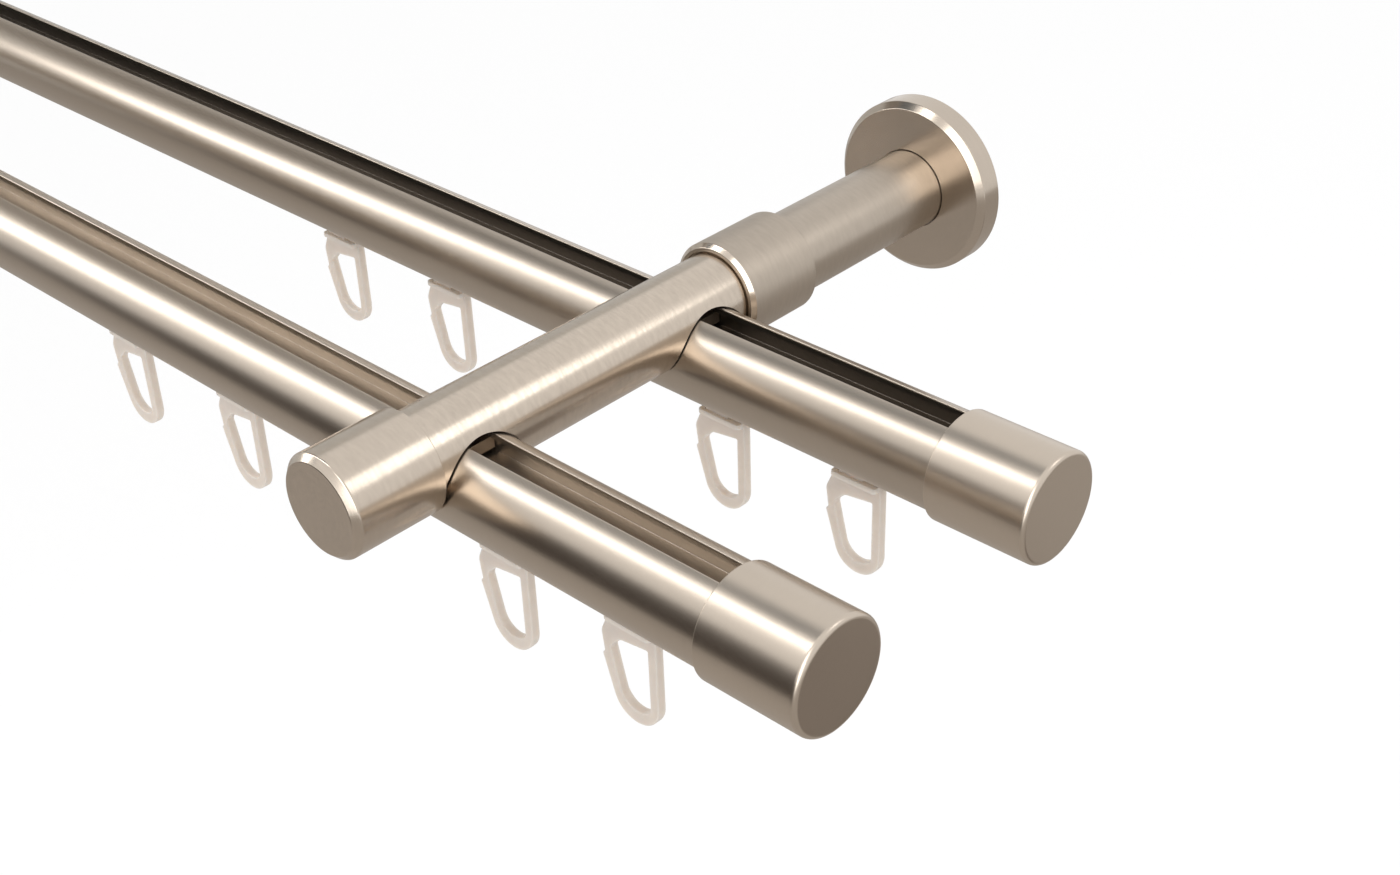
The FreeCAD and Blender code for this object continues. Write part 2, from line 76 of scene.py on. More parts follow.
# Limits that tell faces and corners apart
MERGE = 0.001 * MM          # corners nearer than this are one
SHARP = math.radians(35)    # faces that meet at more than this show an edge
RIM = math.radians(60)      # the outline of a plate turns by more than this
CHAMFER_TILT = (0.5, 0.9)   # how far a sleeve's chamfer turns to the front
END_TILT = 0.5              # a pole's cut ends turn along the pole by more than this
# The track's darker material on the faces inside a pole is painted shade
POLE_SKIN = 0.6 * MM        # faces deeper in a pole than this have the track's finish

# Brightness against the tint, and strength of the brush marks
# The rear pole's lower brightness is painted shade
POLE_PAINTED_SHADES = {"front_pole": 0.95, "rear_pole": 0.87}
# The tracks' darkness inside the poles is painted shade, far deeper in the rear track
TRACK_PAINTED_SHADES = {"front_pole": 0.85, "rear_pole": 0.3}
MARKS = {"pole": 0.5, "track": 0.6, "end_cap": 0.5, "arm": 4.0, "front_cap": 2.5,
         "sleeve": 2.5, "wall_bar": 2.5}
BRUSH_RADIUS = 9.0 * MM     # radius at which the brush marks have their set length
GRAIN_SHARE = 0.7           # share of the marks in the metal's shading, beside the patches
FLOW_SCALE = 420.0          # flow marks in a metre of plastic

# Lamps, and cards for the metal to reflect. A row has azimuth, elevation and distance from the
# right bracket and the lean, then width and height, then a lamp's radiance or a card's colour.
RIGHT_BRACKET = Vector((0.43, -0.11, 0))
LAMPS = {
    "strip_light": ((213.2, 37.7, 0.605, -19.8), (0.085, 0.684), 5.9),
    "right_softbox": ((40.3, 41.2, 1.745, -2.8), (0.475, 0.666), 1.7),
    "front_softbox": ((302, 27, 1.2, 24), (0.6, 1.5), 2.5),
}
GLINTS = ("front_softbox",)  # lamps that show in the metal and light nothing else
CARDS = {
    "front_flag": ((238, -5.9, 1.128, 45), (1.05, 0.762), (0.04, 0.03, 0.025)),
    "low_flag": ((0, -90, 0.454, 0), (3.7, 3.7), (0.45, 0.42, 0.39)),
    "dark_flag": ((198.5, 49.6, 1.3, 30), (0.413, 1.34), (0.11, 0.13, 0.15)),
    "upper_flag": ((188, 35, 1.33, 0), (0.4, 0.58), (0.26, 0.23, 0.2)),
    "edge_flag": ((274, -14, 1.1, 0), (0.9, 1.0), (0.04, 0.03, 0.02)),
    "cap_flag": ((33.7, -39.2, 0.372, 0), (0.13, 0.13), (0.2, 0.17, 0.15)),
    "left_flag": ((169.9, 10, 1.35, 12.6), (1.85, 1.66), (0.63, 0.63, 0.62)),
}
FLOOR_RADIUS = 9.0
FLOOR_STEPS = 96
SENSOR_WIDTH = 36.0         # millimetres


# Settings

def length(name, description, millimetres):
    return FloatProperty(name=name, description=description, default=millimetres * MM,
                         unit="LENGTH", subtype="DISTANCE", precision=4)


def colour(name, description, shade):
    return FloatVectorProperty(name=name, description=description, default=shade,
                               size=3, min=0.0, max=1.0, subtype="COLOR")


def share(name, description, value):
    return FloatProperty(name=name, description=description, default=value,
                         min=0.0, max=1.0, subtype="FACTOR")


def angle(name, description, degrees):
    return FloatProperty(name=name, description=description, default=math.radians(degrees),
                         subtype="ANGLE")


class PoleSettings(PropertyGroup):
    """Section of the two extruded poles."""

    web: length("Web", "Metal between the hollow and both channels", 1.4)
    pole_wall: length("Wall", "Metal beside the hollow", 1.6)
    hollow_round: length("Hollow round", "Round of the hollow's corners", 2.0)
    inner_round: length("Inner round", "Round of the channels' inner corners", 0.15)
    channel_opening: length("Channel opening", "Open slot along the top of a pole", 6.0)
    channel_width: length("Channel width", "Width of the channel under its lips", 8.8)
    channel_lip: length("Channel lip", "Pole top to the underside of the lips", 1.9)
    channel_depth: length("Channel depth", "Pole top to the channel floor", 5.4)
    slot_width: length("Slot width", "Slot along the bottom of a pole", 4.4)
    slot_lip: length("Slot lip", "Pole bottom to the top of the slot's lips", 2.1)
    runway_width: length("Runway width", "Width of the gliders' track", 9.6)
    runway_height: length("Runway height", "Height of the gliders' track", 4.8)
    lip_round: length("Lip round", "Round of the lips' outer edges", 0.5)


class TurnedSettings(PropertyGroup):
    """Sizes of the turned caps, sleeves, bars and roses."""

    edge_break: length("Edge break", "Broken sharp edges of the turned pieces", 0.12)
    outer_break: length("Outer break", "Broken outer edges of the turned pieces", 0.24)
    end_cap_round: length("End cap round", "Rounded edge of a pole's end cap", 1.0)
    front_cap_chamfer: length("Front cap chamfer", "Chamfer round the face of an arm's cap", 1.3)
    sleeve_chamfer: length("Sleeve chamfer", "Chamfer round the mouth of a sleeve", 0.9)
    sleeve_recess: length("Sleeve recess", "Recess round the arm in the mouth of a sleeve", 0.3)
    sleeve_recess_depth: length("Sleeve recess depth", "Depth of the recess in the mouth", 0.6)
    rose_chamfer: length("Rose chamfer", "Chamfer round the front of a wall rose", 1.4)
    rose_gap: length("Rose gap", "Clearance between a rose and its wall bar", 0.15)
    arm_diameter: length("Arm diameter", "Diameter of the arms and wall bars", 18.0)
    saddle_edge: length("Saddle edge", "Broken edge round a saddle", 0.22)
    saddle_gap: length("Saddle gap", "Clearance between a saddle and its pole", 0.35)
    thread_core: length("Thread core", "Core diameter of the wall bars' threads", 6.8)
    thread_depth: length("Thread depth", "Depth of the wall bars' threads", 22.0)
    thread_chamfer: length("Thread chamfer", "Chamfer at the mouth of a thread", 0.36)
    push_fit: length("Push fit", "Clearance between a bar and what is pushed over it", 0.05)


class GliderSettings(PropertyGroup):
    """Moulded glider with its hook loop, measured from the pole's axis and its middle."""

    half_width: length("Half width", "Middle to either side of the loop", 6.85)
    drop: length("Drop", "Pole axis to the bottom of the loop", 35.2)
    flange_top: length("Flange top", "Pole axis to the top of the flange", 12.2)
    flange_height: length("Flange height", "Thickness of the flange", 1.2)
    flange_width: length("Flange width", "Flange across the pole", 5.0)
    flange_left: length("Flange left", "Middle to the flange's slanted end", 4.7)
    flange_right: length("Flange right", "Middle to the flange's straight end", 6.5)
    flange_round: length("Flange round", "Round of the flange's corners", 0.8)
    flange_edge: length("Flange edge", "Round along the flange's edges", 0.2)
    ledge: length("Ledge", "Flange to the top of the straight leg", 0.8)
    ledge_round: length("Ledge round", "Round at the top of the straight leg", 0.4)
    shoulder: length("Shoulder", "Flange to the widest point of the loop", 4.3)
    shoulder_round: length("Shoulder round", "Round at the widest point", 0.7)
    catch: length("Catch", "Flange to the catch on the leaning leg", 9.5)
    catch_step: length("Catch step", "How far the catch stands out", 0.6)
    catch_round: length("Catch round", "Round in the corner over the catch", 0.2)
    catch_tip: length("Catch tip", "Round of the catch's outer edge", 0.3)
    bend: length("Bend", "Radius of the loop's outer bend", 5.7)
    lean: length("Lean", "Outer bend's centre off the middle", 1.15)
    leg: length("Leg", "Width of the loop's legs", 2.1)
    bar: length("Bar", "Closed bar between flange and opening", 3.4)
    bar_fall: length("Bar fall", "How much thicker the bar gets at the leaning leg", 1.0)
    bar_round: length("Bar round", "Round where the bar meets the straight leg", 0.3)
    gusset: length("Gusset", "Slanted corner of the opening", 2.7)
    gusset_top: length("Gusset top", "Round where the slant meets the bar", 0.5)
    gusset_foot: length("Gusset foot", "Round where the slant meets the leaning leg", 0.8)
    foot: length("Foot", "Opening to the bottom of the loop", 2.8)
    inner_bend: length("Inner bend", "Radius of the opening's bend", 4.1)
    inner_lean: length("Inner lean", "Inner bend's centre off the middle", 1.35)
    inner_corner: length("Inner corner", "Round where the bend meets the straight leg", 1.0)
    depth: length("Depth", "Thickness of the loop", 2.0)
    edge: length("Edge", "Round of the loop's edges", 0.55)
    neck_length: length("Neck length", "Neck along the pole", 6.0)
    neck_width: length("Neck width", "Neck across the slot", 3.6)
    head_length: length("Head length", "Head along the pole", 11.0)
    head_width: length("Head width", "Head across the track", 8.8)
    head_height: length("Head height", "Thickness of the head", 2.0)
    head_bottom: length("Head bottom", "Pole axis to the underside of the head", 7.85)
    block_edge: length("Block edge", "Round of the head's and neck's edges", 0.3)


class MetalSettings(PropertyGroup):
    """Brushed satin nickel, and the plain metal of the tracks and fasteners."""

    tint: colour("Tint", "Colour of the plated metal", (0.58, 0.502, 0.42))
    roughness: share("Roughness", "Roughness of the arms and their caps", 0.22)
    pole_roughness: share("Pole roughness", "Roughness of the poles and their caps", 0.3)
    track_roughness: share("Track roughness", "Roughness inside the poles", 0.36)
    sleeve_roughness: share("Sleeve roughness", "Roughness of the sleeves", 0.42)
    chamfer_roughness: share("Chamfer roughness", "Roughness of the sleeves' chamfers", 0.16)
    bar_roughness: share("Bar roughness", "Roughness of the wall bars and fasteners", 0.34)
    rose_roughness: share("Rose roughness", "Roughness of the wall roses", 0.2)
    dull_shade: share("Dull shade", "Brightness of the sleeves, wall bars and fasteners", 0.8)
    rose_shade: share("Rose shade", "Brightness of the wall roses", 0.94)
    streak_depth: share("Streak depth", "Strength of the brush marks' bump", 0.1)
    streak_height: length("Streak height", "Height of the brush marks at full strength", 0.02)
    streak_shade: share("Streak shade", "How much the marks lighten and darken", 0.1)
    streak_gloss: share("Streak gloss", "How far the roughness varies between the marks", 0.04)
    streak_pitch: length("Streak pitch", "Width of one brush mark", 0.9)
    streak_length: length("Streak length", "Length of one brush mark", 3.0)
    cloud_size: length("Cloud size", "Size of the faint uneven patches", 18.0)
    cloud_gloss: share("Cloud gloss", "How far the roughness varies between the patches", 0.04)


class PlasticSettings(PropertyGroup):
    """Milky moulded plastic of the gliders."""

    tint: colour("Tint", "Colour of the plastic", (0.65, 0.59, 0.535))
    roughness: share("Roughness", "Roughness of the moulded surface", 0.36)
    milkiness: share("Milkiness", "How much of the light goes into the plastic", 0.7)
    scatter: length("Scatter", "How far light travels inside the plastic", 3.5)
    flow_shade: share("Flow shade", "Brightness of the darker flow marks", 0.9)
    flow_gloss: share("Flow gloss", "How far the roughness varies between the marks", 0.12)
    flow_depth: share("Flow depth", "Strength of the flow marks' bump", 0.12)
    flow_height: length("Flow height", "Height of the flow marks at full strength", 0.05)


class StageSettings(PropertyGroup):
    """Camera and floor."""

    camera_place: FloatVectorProperty(
        name="Camera place", description="Where the camera stands", size=3,
        default=(0.65139, -0.32821, 0.19219), unit="LENGTH", subtype="TRANSLATION")
    camera_azimuth: angle("Azimuth", "Turn of the camera about the upright, from looking along +Y",
                          43.905)
    camera_elevation: angle("Elevation", "How far the camera looks down", 32.823)
    camera_roll: angle("Roll", "Tilt of the picture", -1.864)
    lens: FloatProperty(name="Lens", description="Focal length in millimetres",
                        default=49.97, subtype="DISTANCE_CAMERA")
    floor_drop: length("Floor drop", "From the arms' axes down to the floor", 620.0)
    floor_shade: colour("Floor shade", "Colour of the floor", (0.975, 0.975, 0.975))


class CurtainPoleSettings(PropertyGroup):
    """All settings of the pole and its stage."""

    poles: PointerProperty(type=PoleSettings)
    turned: PointerProperty(type=TurnedSettings)
    gliders: PointerProperty(type=GliderSettings)
    metal: PointerProperty(type=MetalSettings)
    plastic: PointerProperty(type=PlasticSettings)
    stage: PointerProperty(type=StageSettings)


def settings():
    return bpy.context.scene.curtain_pole


# Shader work

class Shade:
    """A number that varies over a surface, written as Python arithmetic."""

    def __init__(self, bench, socket):
        self.bench = bench
        self.socket = socket

    def maths(self, operation, *values):
        return self.bench.shade("ShaderNodeMath", {"operation": operation},
                                dict(enumerate(values)))

    def __add__(self, other):
        return self.maths("ADD", self, other)

    def __radd__(self, other):
        return self.maths("ADD", other, self)

    def __sub__(self, other):
        return self.maths("SUBTRACT", self, other)

    def __rsub__(self, other):
        return self.maths("SUBTRACT", other, self)

    def __mul__(self, other):
        return self.maths("MULTIPLY", self, other)

    def __rmul__(self, other):
        return self.maths("MULTIPLY", other, self)

    def __truediv__(self, other):
        return self.maths("DIVIDE", self, other)

    def __pow__(self, other):
        return self.maths("POWER", self, other)


class Bench:
    """The node tree of one material or world."""

    def __init__(self, owner):
        owner.use_nodes = True
        self.tree = owner.node_tree
        self.tree.nodes.clear()

    def node(self, kind, choices=None, sockets=None):
        """A node of that type, with its settings first and then its sockets."""
        node = self.tree.nodes.new(kind)
        for name, choice in (choices or {}).items():
            setattr(node, name, choice)
        for name, value in (sockets or {}).items():
            self.feed(self.socket(node.inputs, name), value)
        return node

    def socket(self, sockets, name):
        """A socket by number, or by name among those that the node's settings show."""
        if isinstance(name, int):
            return sockets[name]
        return next(socket for socket in sockets if socket.name == name and socket.enabled)

    def feed(self, socket, value):
        """Links a socket to a Shade or another socket, or sets its value."""
        if isinstance(value, Shade):
            value = value.socket
        if isinstance(value, bpy.types.NodeSocket):
            self.tree.links.new(value, socket)
        else:
            socket.default_value = value

    def shade(self, kind, choices=None, sockets=None):
        return Shade(self, self.node(kind, choices, sockets).outputs[0])

    def place(self):
        """Where a point lies on the object."""
        return self.node("ShaderNodeTexCoord").outputs["Object"]

    def between(self, factor, tint, first, second):
        """The tint at one brightness where the factor is 0 and at another where it is 1."""
        ends = [(*(part * brightness for part in tint), 1.0) for brightness in (first, second)]
        mix = self.node("ShaderNodeMix", {"data_type": "RGBA"}, {
            "Factor": factor, "A": ends[0], "B": ends[1]})
        return self.socket(mix.outputs, "Result")

    def bump(self, relief, strength, height):
        return self.node("ShaderNodeBump", None, {
            "Strength": strength, "Distance": height, "Height": relief}).outputs["Normal"]

    def finish(self, shader, output="ShaderNodeOutputMaterial"):
        self.node(output, None, {"Surface": shader.outputs[0]})


def brushed_metal(name, along, centre, roughness, shade=1.0, marks=1.0, drawn=False):
    """Satin nickel brushed round an axis through centre, or drawn along it."""
    metal = settings().metal
    material = bpy.data.materials.new(name)
    bench = Bench(material)
    place = bench.node("ShaderNodeMapping", {"vector_type": "POINT"}, {
        "Vector": bench.place(), "Location": -centre}).outputs["Vector"]
    split = bench.node("ShaderNodeSeparateXYZ", None, {"Vector": place})
    axes = {"X": "XYZ", "Y": "YXZ"}[along]
    run, side, up = (Shade(bench, split.outputs[axis]) for axis in axes)
    if drawn:
        lines = (run / metal.streak_length, side / metal.streak_pitch, up / metal.streak_pitch)
    else:
        radius = (side * side + up * up) ** 0.5
        turn = radius * metal.streak_length / BRUSH_RADIUS
        lines = ((run + radius) / metal.streak_pitch, side / turn, up / turn)
    grain = bench.shade("ShaderNodeTexNoise", {"noise_dimensions": "3D"}, {
        "Vector": bench.node("ShaderNodeCombineXYZ", None, dict(zip("XYZ", lines))).outputs[0],
        "Scale": 1.0, "Detail": 3.0, "Roughness": 0.6})
    cloud = bench.shade("ShaderNodeTexNoise", {"noise_dimensions": "3D"}, {
        "Vector": place, "Scale": 1 / metal.cloud_size, "Detail": 2.0})
    contrast = metal.streak_shade * marks / 2
    bench.finish(bench.node("ShaderNodeBsdfPrincipled", None, {
        "Base Color": bench.between(grain * GRAIN_SHARE + cloud * (1 - GRAIN_SHARE), metal.tint,
                                    shade * (1 + contrast), shade * (1 - contrast)),
        "Metallic": 1.0,
        "Roughness": (grain - 0.5) * (metal.streak_gloss * marks)
                     + (cloud - 0.5) * metal.cloud_gloss + roughness,
        "Normal": bench.bump(grain, metal.streak_depth * marks, metal.streak_height),
    }))
    return material


def milky_plastic(name):
    """Moulded plastic that lets some light through."""
    plastic = settings().plastic
    material = bpy.data.materials.new(name)
    bench = Bench(material)
    flow = bench.shade("ShaderNodeTexNoise", {"noise_dimensions": "3D"}, {
        "Vector": bench.place(), "Scale": FLOW_SCALE, "Detail": 3.0, "Distortion": 0.8})
    bench.finish(bench.node("ShaderNodeBsdfPrincipled", None, {
        "Base Color": bench.between(flow, plastic.tint, 1.0, plastic.flow_shade),
        "Roughness": plastic.roughness + (flow - 0.5) * plastic.flow_gloss,
        "Subsurface Weight": plastic.milkiness,
        "Subsurface Radius": (1.0, 0.85, 0.7),
        "Subsurface Scale": plastic.scatter,
        "IOR": 1.46,
        "Normal": bench.bump(flow, plastic.flow_depth, plastic.flow_height),
    }))
    return material


# Pieces

def middle(node):
    low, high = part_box(node)
    return (low + high) / 2


def pole_line(pole):
    """A point on a pole's axis at the middle of the object, and the pole's radius."""
    low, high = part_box(f"{pole}_pole")
    centre = middle(f"{pole}_end_cap_right")
    centre.x = 0
    return centre, (high.y - low.y) / 2


def bracket_line(node):
    """A bracket piece's box, a point on its axis and its radius."""
    low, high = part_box(node)
    centre = middle(node)
    centre.y = 0
    return low, high, centre, (high.x - low.x) / 2


def clean(work):
    """Merges corners that meet and turns the faces outwards."""
    bmesh.ops.remove_doubles(work, verts=work.verts[:], dist=MERGE)
    bmesh.ops.recalc_face_normals(work, faces=work.faces[:])


def as_mesh(name, work):
    mesh = bpy.data.meshes.new(name)
    work.to_mesh(mesh)
    work.free()
    return mesh


def placed(name, data):
    """A new object in the scene."""
    item = bpy.data.objects.new(name, data)
    bpy.context.scene.collection.objects.link(item)
    return item


def new_piece(name, work, material, body, replaced):
    """Turns finished bmesh work into an object that rides on a body."""
    clean(work)
    for face in work.faces:
        face.smooth = True
    mesh = as_mesh(name, work)
    mesh.materials.append(material)
    piece = placed(name, mesh)
    even = piece.modifiers.new("flat_faces_stay_flat", "WEIGHTED_NORMAL")
    even.weight = 100
    even.keep_sharp = True
    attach(piece, body)
    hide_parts(*replaced)
    return piece


def bracket_piece(node, work, material, made="turned"):
    return new_piece(f"{node}_{made}", work, material, MAIN_BODY, [node])


def corners_in(made):
    """The corners among what a bmesh operator made."""
    return [item for item in made if isinstance(item, bmesh.types.BMVert)]


def join(work, points):
    """Joins points with edges, one after the other."""
    for start, end in zip(points, points[1:]):
        work.edges.new((start, end))


def round_corner(work, corner, radius, steps):
    """Rounds a corner of an outline, unless its radius is 0."""
    if radius > 0:
        bmesh.ops.bevel(work, geom=[corner], offset=radius, segments=steps, profile=0.5,
                        affect="VERTICES", material=-1)


def turn_profile(axis, centre, corners):
    """A solid turned from (along, radius, edge round) corners about a line along X or Y."""
    work = bmesh.new()
    run = Vector((1, 0, 0)) if axis == "X" else Vector((0, 1, 0))
    upright = Vector((0, 0, 1))
    points = [work.verts.new(centre + run * along + upright * radius)
              for along, radius, rounding in corners]
    join(work, points + points[:1] if corners[0][1] > 0 else points)
    for point, (along, radius, rounding) in zip(points, corners):
        round_corner(work, point, rounding,
                     SMALL_ROUND_STEPS if rounding < LARGE_ROUND else LARGE_ROUND_STEPS)
    bmesh.ops.spin(work, geom=work.verts[:] + work.edges[:], cent=centre, axis=run,
                   angle=2 * math.pi, steps=TURNED_STEPS, use_merge=True)
    return work


def closed(work):
    """Bmesh work as an object that a Boolean modifier can take."""
    clean(work)
    return placed("solid_work", as_mesh("solid_work", work))


def combine(solid, operation, tool):
    """Joins a tool to a solid, or cuts it out, and keeps the result as the solid's mesh."""
    step = solid.modifiers.new("step", "BOOLEAN")
    step.operation = operation
    step.solver = "EXACT"
    step.object = tool
    bpy.context.view_layer.update()
    seen = solid.evaluated_get(bpy.context.evaluated_depsgraph_get())
    mesh = bpy.data.meshes.new_from_object(seen)
    solid.modifiers.clear()
    solid.data = mesh
    bpy.data.objects.remove(tool)


def opened(solid):
    """The solid's mesh as bmesh work."""
    work = bmesh.new()
    work.from_mesh(solid.data)
    bpy.data.objects.remove(solid)
    return work


def mark_sharp(work):
    """Marks the edges that shade as edges."""
    for edge in work.edges:
        edge.smooth = edge.calc_face_angle(0) < SHARP


class CURTAIN_OT_end_caps(Operator):
    """Turns the four end caps of the poles"""

    bl_idname = "curtain.end_caps"
    bl_label = "End caps"

    def execute(self, context):
        turned, metal = settings().turned, settings().metal
        fine = turned.edge_break
        for pole in POLES:
            pole_low, pole_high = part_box(f"{pole}_pole")
            centre, radius = pole_line(pole)
            bore = radius + turned.push_fit
            nickel = brushed_metal(f"{pole}_end_cap_nickel", "X", centre, metal.pole_roughness,
                                   marks=MARKS["end_cap"])
            for side in SIDES:
                node = f"{pole}_end_cap_{side}"
                low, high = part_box(node)
                outer = (high.z - low.z) / 2
                face, rim, pole_end = high.x, low.x, pole_high.x
                if side == "left":
                    face, rim, pole_end = low.x, high.x, pole_low.x
                bracket_piece(node, turn_profile("X", centre, [
                    (face, 0, 0), (face, outer, turned.end_cap_round),
                    (rim, outer, turned.outer_break), (rim, bore, fine), (pole_end, bore, 0),
                    (pole_end, 0, 0),
                ]), nickel)
        return {"FINISHED"}


class CURTAIN_OT_front_caps(Operator):
    """Turns the caps on the front ends of the arms"""

    bl_idname = "curtain.front_caps"
    bl_label = "Front caps"

    def execute(self, context):
        turned, metal = settings().turned, settings().metal
        fine, chamfer = turned.edge_break, turned.front_cap_chamfer
        bore = turned.arm_diameter / 2 + turned.push_fit
        for side in SIDES:
            node = f"arm_front_cap_{side}"
            low, high, centre, outer = bracket_line(node)
            arm_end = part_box(f"arm_{side}")[0].y
            nickel = brushed_metal(f"{node}_nickel", "Y", centre, metal.roughness,
                                   marks=MARKS["front_cap"])
            bracket_piece(node, turn_profile("Y", centre, [
                (low.y, 0, 0), (low.y, outer - chamfer, fine),
                (low.y + chamfer, outer, turned.outer_break), (high.y, outer, turned.outer_break),
                (high.y, bore, fine), (arm_end, bore, 0), (arm_end, 0, 0),
            ]), nickel)
        return {"FINISHED"}


class CURTAIN_OT_sleeves(Operator):
    """Turns the sleeves that join the arms to the wall bars"""

    bl_idname = "curtain.sleeves"
    bl_label = "Sleeves"

    def execute(self, context):
        turned, metal = settings().turned, settings().metal
        fine, chamfer = turned.edge_break, turned.sleeve_chamfer
        bore = turned.arm_diameter / 2 + turned.push_fit
        mouth = bore + turned.sleeve_recess
        for side in SIDES:
            node = f"sleeve_{side}"
            low, high, centre, outer = bracket_line(node)
            floor = low.y + turned.sleeve_recess_depth
            nickel = brushed_metal(f"{node}_nickel", "Y", centre, metal.sleeve_roughness,
                                   metal.dull_shade, MARKS["sleeve"])
            polish = brushed_metal(f"{node}_chamfer", "Y", centre, metal.chamfer_roughness)
            piece = bracket_piece(node, turn_profile("Y", centre, [
                (low.y, mouth, fine), (low.y, outer - chamfer, fine),
                (low.y + chamfer, outer, fine), (high.y, outer, turned.outer_break),
                (high.y, bore, fine), (floor, bore, fine), (floor, mouth, fine),
            ]), nickel)
            piece.data.materials.append(polish)
            for face in piece.data.polygons:
                if CHAMFER_TILT[0] < -face.normal.y < CHAMFER_TILT[1]:
                    face.material_index = 1
        return {"FINISHED"}


class CURTAIN_OT_roses(Operator):
    """Turns the wall roses"""

    bl_idname = "curtain.roses"
    bl_label = "Wall roses"

    def execute(self, context):
        turned, metal = settings().turned, settings().metal
        fine, chamfer = turned.edge_break, turned.rose_chamfer
        bore = turned.arm_diameter / 2 + turned.rose_gap
        for side in SIDES:
            node = f"wall_rose_{side}"
            low, high, centre, outer = bracket_line(node)
            nickel = brushed_metal(f"{node}_nickel", "Y", centre, metal.rose_roughness,
                                   metal.rose_shade)
            bracket_piece(node, turn_profile("Y", centre, [
                (low.y, bore, fine), (low.y, outer - chamfer, fine),
                (low.y + chamfer, outer, fine), (high.y, outer, turned.outer_break),
                (high.y, bore, fine),
            ]), nickel)
        return {"FINISHED"}


class CURTAIN_OT_wall_bars(Operator):
    """Turns the bars between the sleeves and the wall, with their threaded holes"""

    bl_idname = "curtain.wall_bars"
    bl_label = "Wall bars"

    def execute(self, context):
        turned, metal = settings().turned, settings().metal
        core, chamfer = turned.thread_core / 2, turned.thread_chamfer
        for side in SIDES:
            node = f"wall_bar_{side}"
            low, high, centre, outer = bracket_line(node)
            hole = high.y - turned.thread_depth
            drill_tip = hole - core / 2
            nickel = brushed_metal(f"{node}_nickel", "Y", centre, metal.bar_roughness,
                                   metal.dull_shade, MARKS["wall_bar"])
            bracket_piece(node, turn_profile("Y", centre, [
                (low.y, 0, 0), (low.y, outer, turned.outer_break),
                (high.y, outer, turned.edge_break), (high.y, core + chamfer, 0),
                (high.y - chamfer, core, 0), (hole, core, 0), (drill_tip, 0, 0),
            ]), nickel)
        return {"FINISHED"}


class CURTAIN_OT_arms(Operator):
    """Turns the arms and bores their saddles over the poles"""

    bl_idname = "curtain.arms"
    bl_label = "Arms"

    def execute(self, context):
        turned, metal = settings().turned, settings().metal
        fine, reach, outer = turned.edge_break, turned.arm_diameter, turned.arm_diameter / 2
        for side in SIDES:
            node = f"arm_{side}"
            low, high, centre, _ = bracket_line(node)
            centre.z = high.z - outer
            bar = closed(turn_profile("Y", centre, [
                (low.y, 0, 0), (low.y, outer, fine), (high.y, outer, fine), (high.y, 0, 0)]))
            for pole in POLES:
                axis, radius = pole_line(pole)
                axis.x = centre.x
                saddle = radius + turned.saddle_gap
                combine(bar, "DIFFERENCE", closed(turn_profile("X", axis, [
                    (-reach, 0, 0), (-reach, saddle, 0), (reach, saddle, 0), (reach, 0, 0)])))
            nickel = brushed_metal(f"{node}_nickel", "Y", centre, metal.roughness,
                                   marks=MARKS["arm"])
            piece = bracket_piece(node, opened(bar), nickel, "bored")
            bevel = piece.modifiers.new("broken_saddle_edge", "BEVEL")
            bevel.width = turned.saddle_edge
            bevel.segments = FINE_STEPS
            bevel.angle_limit = SHARP
            piece.modifiers.move(1, 0)
        return {"FINISHED"}


